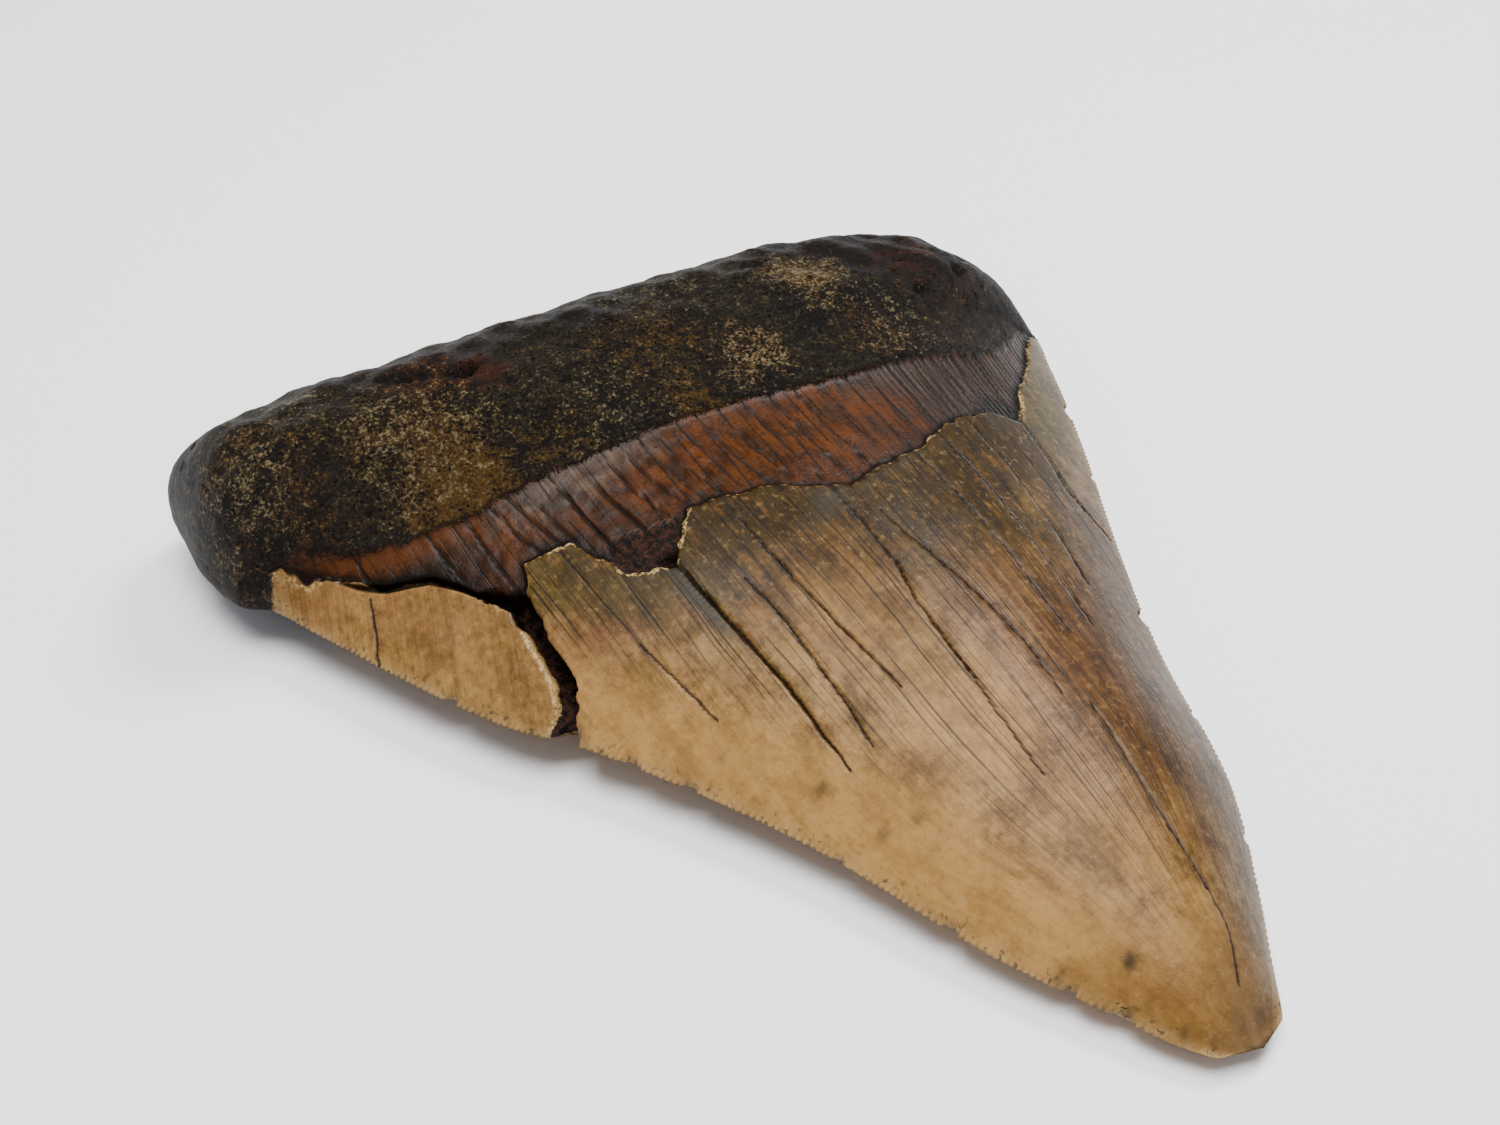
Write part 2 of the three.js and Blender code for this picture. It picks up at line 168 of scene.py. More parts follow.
# Splits across the bourlette: x at the root's line, shift in x on the way down, width, depth
splits = [
    (-44.5, -0.6, 0.25, 0.2), (-37.6, 1.2, 0.4, 0.3), (-33.4, 0.8, 0.35, 0.25),
    (-30.6, 2.2, 0.5, 0.4), (-28.6, 2.6, 0.55, 0.45), (-26.6, 2.0, 0.45, 0.35),
    (-23.4, 2.6, 0.6, 0.5), (-20.4, 3.2, 0.75, 0.6), (-17.2, 2.4, 0.5, 0.45),
    (-14.9, 2.4, 0.6, 0.5), (-12.4, 1.6, 0.35, 0.3), (-10.6, 1.9, 0.45, 0.35),
    (-7.8, 1.5, 0.45, 0.4), (-5.0, 1.8, 0.35, 0.3), (-2.3, 1.6, 0.5, 0.4), (0.9, 1.2, 0.4, 0.35),
    (4.2, 0.9, 0.3, 0.3), (7.6, 1.0, 0.35, 0.3), (11.0, 0.4, 0.3, 0.25), (14.8, 0.2, 0.3, 0.25),
    (18.2, 0.0, 0.25, 0.2), (21.7, -0.3, 0.3, 0.25), (25.5, -0.6, 0.25, 0.2),
    (30.2, -1.0, 0.3, 0.25), (36.0, -1.6, 0.3, 0.25)]

# Hollows in the root: centre, half sizes, turn in plan in degrees, and the darkness of the painted shade
# in them
hollows = [
    ((-29.6, 9.6, 24.5), (7, 1.3, 1.6), -19, 0.6), ((-25.6, 7.6, 24.6), (1.8, 1.4, 2.8), -10, 1),
    ((17.2, 11.6, 24.4), (3.4, 1.6, 1.6), 8, 1), ((35, 5.2, 22.8), (1.8, 1.3, 1.6), 20, 0.8),
    ((34.9, -0.9, 20.6), (1.4, 1.2, 1.4), 0, 0.8), ((43.1, 2.1, 19.4), (1.6, 1.2, 1.3), 40, 0.8),
    ((2, 31.4, 13), (9, 2.6, 3.4), 0, 0.4)]

# Edge length of the mesh by place, and how fast it may grow away from one
mesh = {
    "rim": 0.22, "crack": 0.2, "ledge": 0.24, "bourlette": 0.36, "root": 0.5, "enamel": 0.8,
    "labialCrown": 1.3, "labialRoot": 0.75, "labialLine": 0.35, "growth": 0.5, "slack": 1.4,
    "rounds": 9, "startCells": (22, 26), "join": 0.0005}

# Fine relief of the finished skin: size and height of lumps, depth of pores and ridges
skin = {
    "rootLumps": [(7, 0.14, 5), (2.4, 0.07, 6), (1.1, 0.09, 7)],  # size, height, seed
    "rootSunk": 0.15,
    "poreSpacing": 2.6,
    "poreDepth": 0.45,
    "splitWidth": 0.6,      # share of a split's listed width and depth
    "splitDepth": 0.7,
    "bentShare": 0.35,      # how far cracks follow the ragged borders
    "crackColour": (0.08, 0.2),  # reach past a crack's side, and the least
    "ridges": (7.2, 0.035),  # turns per millimetre across, height
    "plates": (1.5, 0.1),    # size, height
    "crown": (6, 0.03),
    "sharpRim": 0.35,
}


def smoothThrough(pairs):
    # smooth value through pairs that never swings past its neighbours
    places, values = np.array(pairs, float).T
    spans = np.diff(places)
    rises = np.diff(values) / spans
    slopes = np.concatenate(([rises[0]], np.zeros(len(places) - 2), [rises[-1]]))
    product = rises[:-1] * rises[1:]
    turning = product <= 0
    slopes[1:-1] = np.where(turning, 0, 2 * product / np.where(turning, 1, rises[:-1] + rises[1:]))

    def value(at):
        at = np.clip(at, places[0], places[-1])
        i = np.clip(np.searchsorted(places, at, side="right") - 1, 0, len(spans) - 1)
        t = (at - places[i]) / spans[i]
        ease = t * t * (3 - 2 * t)
        swing = t * (1 - t) * spans[i] * ((1 - t) * slopes[i] - t * slopes[i + 1])
        return values[i] + (values[i + 1] - values[i]) * ease + swing
    return value


leftEdge = smoothThrough(tooth["leftOutline"])
rightEdge = smoothThrough(tooth["rightOutline"])
basalEdge = smoothThrough(tooth["basalOutline"])
rimHeight = smoothThrough(tooth["rimHeights"])
crestHeight = smoothThrough(tooth["crestHeights"])
labialHeight = smoothThrough(tooth["labialHeights"])
lingualPower = smoothThrough(tooth["lingualPowers"])
rootRound = smoothThrough(tooth["rootRounds"])
rootShare = smoothThrough(tooth["rootShares"])


def fade(value, low, high):
    # 0 at low, 1 at high, smooth between
    t = np.clip((value - low) / (high - low), 0, 1)
    return t * t * (3 - 2 * t)


def rough(places, size, seed=0):
    # smooth random value from -1 to 1 with lumps of about that size
    offset = Vector((seed * 17.3, seed * 5.7, seed * 11.1))
    return np.array([noise.noise(Vector(p) + offset) for p in places / size])


def spots(places, size, seed=0):
    # distance to the nearest of scattered points, 0 on a point
    offset = Vector((seed * 13.1, seed * 7.9, seed * 3.3))
    return np.array([noise.voronoi(Vector(p) + offset)[0][0] for p in places / size])


def pathDistance(x, y, path):
    # distance to a path and the share of it that lies before the nearest point
    corners = np.array(path, float)
    steps = np.diff(corners, axis=0)
    lengths = np.hypot(*steps.T)
    before = np.concatenate(([0], np.cumsum(lengths)))
    nearest = np.full(len(x), 1e9)
    share = np.zeros(len(x))
    for i, step in enumerate(steps):
        dx, dy = x - corners[i, 0], y - corners[i, 1]
        t = np.clip((dx * step[0] + dy * step[1]) / lengths[i] ** 2, 0, 1)
        away = np.hypot(dx - t * step[0], dy - t * step[1])
        closer = away < nearest
        nearest = np.where(closer, away, nearest)
        share = np.where(closer, (before[i] + t * lengths[i]) / before[-1], share)
    return nearest, share


def outlineDistance(x, y, outline):
    # distance to a closed outline, positive inside
    closed = list(outline) + [outline[0]]
    away, _ = pathDistance(x, y, closed)
    inside = np.zeros(len(x), bool)
    for (ax, ay), (bx, by) in zip(closed[:-1], closed[1:]):
        if ay == by:
            continue
        crosses = (ay > y) != (by > y)
        inside ^= crosses & (x < ax + (y - ay) * (bx - ax) / (by - ay))
    return np.where(inside, away, -away)


# Distance along each cutting edge, for evenly spaced serrations
edgeYs = np.linspace(tooth["tipY"], 30, 1291)
edgeRuns = {
    side: np.concatenate(([0], np.cumsum(np.hypot(np.diff(edgeYs), np.diff(outline(edgeYs))))))
    for side, outline in ((-1, leftEdge), (1, rightEdge))}


def serration(y, side):
    # 0 on a serration's point and 1 in the notch between two, with its strength
    run = np.interp(y, edgeYs, edgeRuns[side])
    drift = 0.6 * np.sin(run * 0.31) + 0.4 * np.sin(run * 0.83 + 1)
    wave = 0.5 - 0.5 * np.cos(2 * math.pi * (run + 0.25 * drift) / edges["pitch"])
    worn = 0.65 + 0.35 * np.sin(run * 0.21 + side) * np.sin(run * 0.57)
    strength = worn * fade(y, edges["from"], edges["from"] + 5) * fade(y, edges["to"] + 4, edges["to"])
    return wave, strength


def edgeInset(y, side):
    wave, strength = serration(y, side)
    inset = edges["depth"] * wave * strength
    for chipSide, chipY, half, depth in edges["chips"]:
        if chipSide == side:
            inset = inset + depth * fade(np.abs(y - chipY), half, half * 0.35)
    return inset


def planOf(across, along):
    start = tooth["tipY"] + tooth["tipBow"] * across ** 2
    end = basalEdge(across)
    y = start + (end - start) * along
    left = leftEdge(y)
    right = rightEdge(y)
    # a chip or serration only shifts the skin close to its own edge
    nearLeft = fade(across, -0.8, -1) * edgeInset(y, -1)
    nearRight = fade(across, 0.8, 1) * edgeInset(y, 1)
    return left + (right - left) * (across + 1) / 2 + nearLeft - nearRight, y


def heightOf(x, y, face):
    # height of one face over a place in plan, before any fine relief
    left, right = leftEdge(y), rightEdge(y)
    across = np.clip((2 * x - left - right) / (right - left), -1, 1)
    rim = rimHeight(y)
    inRoot = np.clip((y - tooth["rootStart"][0]) / (tooth["rootStart"][1] - tooth["rootStart"][0]), 0, 1)
    end = basalEdge(across)
    start = tooth["tipY"] + tooth["tipBow"] * across ** 2
    fromBase = np.clip((end - y) / tooth["basalRound"], 0, 1)
    fromTip = np.clip((y - start) / (end - start) / tooth["tipShare"], 0, 1)
    crownFull = (1 - np.abs(across) ** lingualPower(y)) * np.sin(fromTip * math.pi / 2)
    crownFull = crownFull * np.sqrt(1 - (1 - fromBase) ** 2)
    fromSide = np.clip(np.minimum(x - left, right - x), 1e-6, None)
    toEnd = np.clip(end - y, 1e-6, None)
    fromRim = fromSide * toEnd / np.hypot(fromSide, toEnd)
    rootFull = np.sqrt(1 - (1 - np.clip(fromRim / rootRound(x), 0, 1)) ** 2)
    full = crownFull + (rootFull - crownFull) * inRoot
    if face == "lingual":
        rootness = fade(y, *tooth["rootStart"])
        size = tooth["crownLumps"] + (tooth["rootLumps"] - tooth["crownLumps"]) * rootness
        lumps = sum(part * np.sin(wx * x + wy * y + phase) for wx, wy, phase, part in tooth["swells"])
        share = 1 + (rootShare(x) - 1) * inRoot
        return rim + ((crestHeight(y) - rim) * share + size * lumps) * full
    drop = 0
    for lobeX, lobeY, depth in tooth["lobes"]:
        offX = (x - lobeX) / tooth["lobeSpread"][0]
        offY = (y - lobeY) / tooth["lobeSpread"][1]
        drop = drop + depth * np.exp(-offX ** 2 - offY ** 2)
    z = rim - (rim - labialHeight(y) + drop) * full
    z = z + borders["labialDepth"] * fade(y - labialLine(x), -borders["ledge"], borders["ledge"]) * full
    return np.maximum(z, 0)


labialLine = smoothThrough(borders["labialLine"])
rootLineY = smoothThrough(borders["rootLine"])
rootArea = [(-75, -2)] + borders["rootLine"] + [(75, 1), (75, 60), (-75, 60)]
enamelArea = [(-75, 3)] + borders["enamelLine"] + [(75, 1), (75, -120), (-75, -120)]


def splitPaths():
    # from the root's line down to the enamel's ledge
    for x, shift, width, depth in splits:
        top = float(rootLineY(x))
        ledgeX, ledgeY = np.array(borders["enamelLine"]).T
        bottom = float(ledgeY[np.argmin(np.abs(ledgeX - x - shift))])
        middle = (x + shift * 0.35 + 0.3 * math.sin(x * 3), (top + bottom) / 2)
        path = [(x, top), middle, (x + shift, bottom)]
        yield width * skin["splitWidth"], depth * skin["splitDepth"], path


allCracks = cracks + list(splitPaths())


def rimLengthOf(y):
    # the serrated edges are cut finer than the root's rim
    return np.where(y < edges["to"] + 2, mesh["rim"], mesh["root"])


def edgeLengths(x, y, face):
    # the length that mesh edges may have at a place in plan
    left, right = leftEdge(y), rightEdge(y)
    toRim = np.minimum(x - left, right - x)
    growth = mesh["growth"]
    wanted = rimLengthOf(y) + growth * np.maximum(toRim - 0.3, 0)
    if face == "lingual":
        inRoot = outlineDistance(x, y, rootArea)
        inEnamel = outlineDistance(x, y, enamelArea)
        base = np.where(inEnamel > 0, mesh["enamel"], mesh["bourlette"])
        base = np.where(inRoot > 0, mesh["root"], base)
        wanted = np.minimum(wanted, base)
        ledge = np.minimum(np.abs(inRoot), np.abs(inEnamel))
        wanted = np.minimum(wanted, mesh["ledge"] + growth * np.maximum(ledge - 0.4, 0))
        for name in ("flake", "gap"):
            away = np.maximum(-outlineDistance(x, y, breaks[name]) - 0.4, 0)
            wanted = np.minimum(wanted, mesh["ledge"] + growth * away)
        for width, _, path in cracks:
            away, _ = pathDistance(x, y, path)
            wanted = np.minimum(wanted, mesh["crack"] + growth * np.maximum(away - width * 0.6, 0))
        return wanted
    line = labialLine(x)
    base = np.where(y > line, mesh["labialRoot"], mesh["labialCrown"])
    wanted = np.minimum(wanted, base)
    return np.minimum(wanted, mesh["labialLine"] + growth * np.maximum(np.abs(y - line) - 0.5, 0))


def onRimOf(flat):
    # which points of a sheet lie on its border
    return np.max(np.abs(flat), axis=1) > 0.99999


def faceSheet(face):
    # flat sheet over place across and along, cut finer wherever the finished skin needs it
    bm = bmesh.new()
    columns, rows = mesh["startCells"]
    bmesh.ops.create_grid(bm, x_segments=columns, y_segments=rows, size=1.0)
    for _ in range(mesh["rounds"]):
        bm.verts.index_update()
        flat = np.array([v.co[:2] for v in bm.verts])
        ends = np.array([(e.verts[0].index, e.verts[1].index) for e in bm.edges])
        middle = (flat[ends[:, 0]] + flat[ends[:, 1]]) / 2
        x, y = planOf(flat[:, 0], (flat[:, 1] + 1) / 2)
        places = np.stack((x, y, heightOf(x, y, face)), 1)
        steps = places[ends[:, 0]] - places[ends[:, 1]]
        lengths = np.linalg.norm(steps, axis=1)
        flatLengths = np.hypot(steps[:, 0], steps[:, 1])
        middleX, middleY = planOf(middle[:, 0], (middle[:, 1] + 1) / 2)
        wanted = mesh["slack"] * edgeLengths(middleX, middleY, face)
        rimWanted = mesh["slack"] * rimLengthOf(middleY)
        tooLong = np.where(onRimOf(middle), flatLengths > rimWanted, lengths > wanted)
        if not tooLong.any():
            break
        longEdges = [edge for edge, isLong in zip(bm.edges, tooLong) if isLong]
        bmesh.ops.subdivide_edges(bm, edges=longEdges, cuts=1, use_grid_fill=True,
                                  quad_corner_type="INNER_VERT")
    return bm


def skinMesh():
    # both faces laid on the tooth's form and joined along the rim
    whole = bmesh.new()
    for face in ("lingual", "labial"):
        sheet = faceSheet(face)
        flat = np.array([v.co[:2] for v in sheet.verts])
        x, y = planOf(flat[:, 0], (flat[:, 1] + 1) / 2)
        z = np.where(onRimOf(flat), rimHeight(y), heightOf(x, y, face))
        for vert, place in zip(sheet.verts, np.stack((x, y, z), 1)):
            vert.co = place
        if face == "labial":
            bmesh.ops.reverse_faces(sheet, faces=sheet.faces[:])
        part = bpy.data.meshes.new(face)
        sheet.to_mesh(part)
        sheet.free()
        whole.from_mesh(part)
        print(face, "sheet:", len(part.polygons), "faces")
        bpy.data.meshes.remove(part)
    bmesh.ops.remove_doubles(whole, verts=whole.verts[:], dist=mesh["join"])
    bmesh.ops.triangulate(whole, faces=whole.faces[:])
    # neighbours split across the same three points leave two slivers back to back
    corners = {}
    for triangle in whole.faces:
        corners.setdefault(frozenset(triangle.verts), []).append(triangle)
    slivers = [triangle for group in corners.values() if len(group) > 1 for triangle in group]
    bmesh.ops.delete(whole, geom=slivers, context="FACES")
    openEdges = sum(1 for edge in whole.edges if len(edge.link_faces) != 2)
    print("slivers taken out:", len(slivers), "open edges:", openEdges)
    whole.normal_update()
    return whole


def reliefOf(places, normals):
    # height of the fine relief over the skin, and the fields that the finish reads
    x, y, z = places.T
    upper = z > rimHeight(y) - 1e-6
    left, right = leftEdge(y), rightEdge(y)
    toRim = np.maximum(np.minimum(x - left, right - x), 0)
    ragged = borders["ragged"]
    bentX = x + ragged * rough(places, 2.1, 1) + 0.4 * ragged * rough(places, 0.7, 2)
    bentY = y + ragged * rough(places, 1.9, 3) + 0.4 * ragged * rough(places, 0.8, 4)
    lingualRoot = outlineDistance(bentX, bentY, rootArea)
    lingualEnamel = outlineDistance(bentX, bentY, enamelArea)
    labialRoot = bentY - labialLine(x)
    inRoot = np.where(upper, lingualRoot, labialRoot)
    inEnamel = np.where(upper, lingualEnamel, -labialRoot)

    ledge = borders["ledge"]
    sunk = fade(inEnamel, ledge, -ledge) * fade(inRoot, borders["rootSlope"], -borders["rootSlope"])
    relief = -borders["depth"] * sunk * upper

    # root: soft lumps, grain and scattered pores
    rootness = fade(inRoot, -0.2, 0.6)
    lumps = sum(height * rough(places, size, seed) for size, height, seed in skin["rootLumps"])
    pores = fade(spots(places, skin["poreSpacing"], 8), 0.26, 0.05)
    pores = pores * fade(rough(places, 9, 9), -0.25, 0.35)
    relief = relief + rootness * (lumps - skin["rootSunk"] - skin["poreDepth"] * pores)
    hollow = np.zeros(len(x))
    for (cx, cy, cz), half, turn, darkness in hollows:
        c, s = math.cos(math.radians(turn)), math.sin(math.radians(turn))
        offX = ((x - cx) * c + (y - cy) * s) / half[0]
        offY = (-(x - cx) * s + (y - cy) * c) / half[1]
        offZ = (z - cz) / half[2]
        inside = np.clip(1 - offX ** 2 - offY ** 2 - offZ ** 2, 0, 1)
        relief = relief - half[2] * 0.8 * np.sqrt(inside) * (inside > 0)
        # painted shade: each hollow is darkened in colour, most at its deepest
        hollow = np.maximum(hollow, darkness * inside ** 0.5)

    # crown: cracks, the flake and the gap
    crack = np.zeros(len(x))
    cut = np.zeros(len(x))
    for width, depth, path in allCracks:
        away, share = pathDistance(x + (bentX - x) * skin["bentShare"], y, path)
        half = width / 2 * np.sqrt(np.clip(np.sin(math.pi * np.clip(share, 0.02, 0.98)), 0, 1))
        groove = fade(away, half + 0.1, half * 0.25) * upper
        reach = np.maximum(half + skin["crackColour"][0], skin["crackColour"][1])
        crack = np.maximum(crack, fade(away, reach, 0.05) * upper)
        cut = np.maximum(cut, groove * depth * np.minimum(half / (width / 2) + 0.1, 1))
    broken = np.zeros(len(x))
    for name, depth in (("flake", breaks["flakeDepth"]), ("gap", breaks["gapDepth"])):
        inside = fade(outlineDistance(bentX, bentY, breaks[name]), -0.1, 0.35) * upper
        floor = 1 + 0.4 * rough(places, 1.2, 12) + 0.3 * rough(places, 0.5, 17)
        cut = np.maximum(cut, inside * depth * floor)
        broken = np.maximum(broken, inside)
    holeX, holeY, holeRadius, holeDepth = breaks["flakeHole"]
    cut = cut + holeDepth * fade(np.hypot(bentX - holeX, bentY - holeY), holeRadius, 0.3) * broken
    thickness = heightOf(x, y, "lingual") - heightOf(x, y, "labial")
    relief = relief - np.minimum(cut, np.maximum(thickness - breaks["leastWall"], 0))

    # bourlette: low ridges that run down it, strongest on the right
    bourlette = sunk * upper * (1 - broken)
    ridgeTurns, ridgeHeight = skin["ridges"]
    plateSize, plateHeight = skin["plates"]
    ridges = ridgeHeight * np.sin(ridgeTurns * x + 1.2 * rough(places, 4, 13)) * fade(x, 6, 26)
    plates = plateHeight * rough(places, plateSize, 14) * fade(x, 6, -14)
    relief = relief + bourlette * (ridges + plates)

    # serration ridges run a little way up both faces
    notch = np.zeros(len(x))
    for side, toEdge in ((-1, x - left), (1, right - x)):
        wave, strength = serration(y, side)
        reach = fade(toEdge, edges["reach"] * (1 + 0.3 * rough(places, 2, 16)), 0.1)
        notch = np.maximum(notch, wave * strength * reach * (inEnamel > 0))
    relief = relief - edges["ridge"] * notch
    crownSize, crownHeight = skin["crown"]
    relief = relief + crownHeight * rough(places, crownSize, 15) * (1 - rootness)

    # the crown's rim is sharp and stays where it is
    crownRim = fade(toRim, 0, skin["sharpRim"])
    keep = np.where(y < -1, crownRim, 1.0)
    gapNear = outlineDistance(x, y, breaks["gap"]) > -0.3
    relief = relief * np.where(gapNear & (toRim > 0.05), 1, keep)
    fields = {
        "inRoot": inRoot, "inEnamel": inEnamel, "toRim": toRim, "crack": crack,
        "broken": broken, "hollow": hollow, "upper": upper.astype(float), "notch": notch}
    return relief, fields


grainWidth = smoothThrough([(-99, 0.08), (-94, 0.22), (-80, 0.52), (-70, 0.74), (-57, 0.88),
                            (-30, 1), (0, 1.06), (30, 1.1)])


def patchField(x, y, name):
    # soft round patches of strength
    total = np.zeros(len(x))
    for patchX, patchY, radius, strength in patches[name]:
        away = np.hypot(x - patchX, y - patchY)
        total = np.maximum(total, strength * fade(away, radius * 1.6, radius * 0.3))
    return total


# Where the colours lie, as patches in plan: x, y, radius, strength
patches = {
    "ochre": [(-32.2, -2.8, 7, 1), (-32, 5, 6, 0.55), (-37, 2, 6, 0.6), (6, -4.8, 5, 0.7),
              (-4, 1, 8, 0.45), (20, 5.5, 5.5, 0.9), (24, -6, 5, 0.5), (-4, -9, 4, 0.6),
              (-50, 7, 9, 0.5), (-20, -7, 5, 0.5), (38, -5, 5, 0.3)],
    "rootRed": [(-30, 9.5, 6, 0.6), (-57, -1, 4, 0.8), (-24, 7, 4, 0.8), (36, 6, 6, 0.5),
                (-48, 0, 4, 0.3)],
    "rootPale": [(-53, 4, 6, 0.6), (-46, 12, 7, 0.5), (6, -5, 5, 0.8), (20, 5, 6, 0.9),
                 (-33, 3, 9, 0.7), (-14, -6, 8, 0.4), (28, -6, 6, 0.5), (2, 12, 10, 0.3)],
    "orange": [(-4, -17, 11, 1), (7, -19, 10, 1), (-14, -17, 6, 0.9), (-21, -16, 3.5, 0.5),
               (-31, -12.5, 4.5, 0.9), (-36, -9.5, 3.5, 0.7), (14, -21, 7, 0.8)],
    "greyPlates": [(-24, -12, 4.5, 1), (-18.5, -13, 4.5, 0.9), (-13, -11.5, 2.5, 0.6)],
    "rosy": [(12, -57, 11, 0.9), (6, -68, 9, 0.7), (9, -46, 9, 0.5), (-26, -27, 6, 0.8),
             (20, -62, 7, 0.7), (-49, -4, 4, 0.7), (-44, -10, 3.5, 0.5), (-39.5, -17, 4, 0.5),
             (-37, -27, 3, 0.4)],
    "olive": [(5, -41, 6, 0.45), (15, -37, 8, 0.6), (-6, -35, 5, 0.4), (24, -42, 7, 0.4),
              (-22, -29, 4, 0.4), (0.5, -30, 4.5, 1), (8, -33, 9, 0.7), (-27, -20, 6, 0.75),
              (-8, -27, 6, 0.7), (30, -25, 10, 0.8), (20, -30, 9, 0.6), (-17, -33, 4, 0.5)],
    "cream": [(-3, -62, 8, 0.6), (2, -77, 8, 0.5), (-8, -45, 8, 0.4), (-42, -14, 8, 0.5),
              (0, -92, 8, 0.9)],
    "stain": [(0.3, -96.4, 0.9, 0.3), (0.3, -96.9, 0.6, 0.4), (-18.2, -56.7, 0.8, 0.6),
              (-15.8, -64.1, 0.8, 0.45), (-12.8, -65.4, 0.8, 0.45), (0.5, -30, 2.6, 0.6),
              (-10.4, -84.3, 0.7, 0.5), (-7.1, -90.2, 0.6, 0.5), (-5.6, -91.2, 0.7, 0.35),
              (-4.4, -94.6, 0.6, 0.5), (-2.6, -96.6, 0.6, 0.4), (2.4, -97, 0.9, 0.5),
              (-5.1, -87.6, 0.8, 0.8), (12.8, -33, 1.8, 0.4), (33, -20, 3.2, 0.9),
              (35.4, -22.8, 2.2, 0.6), (30, -22.3, 1.6, 0.5)],
}

# Pale chipped rims of the enamel: reach, strength and path
paleRims = [
    (0.55, 1, [(-22.9, -24.9), (-22.2, -26), (-21, -26.9), (-19.9, -27.5)]),
    (0.5, 1, [(-16.5, -26.6), (-15.4, -25.3), (-14, -23.5), (-13.2, -23)]),
    (0.45, 0.8, [(-37.5, -37.6), (-37, -33.7), (-35.1, -32.7), (-34.3, -30.4), (-34.2, -23.5)]),
    (0.5, 0.8, [(-28, -17.6), (-26.5, -18.2), (-24.9, -18.7)]),
    (0.5, 0.7, [(34.8, -22.4), (36.8, -20), (38.9, -16.7)]),
]

# Stains that follow a crack: reach, strength and path
stainPaths = [
    (1.5, 0.85, [(-18.6, -28.6), (-18.0, -32), (-17.3, -38), (-16.6, -42)]),
    (0.8, 0.6, [(-12.8, -33), (-12.2, -39), (-12.2, -45)]),
    (0.8, 0.5, [(1.7, -27.6), (1.8, -34), (1.6, -41), (0.3, -46.4)]),
    (0.8, 0.5, [(7.6, -68), (6.8, -74), (5.8, -81), (5.0, -88)]),
]


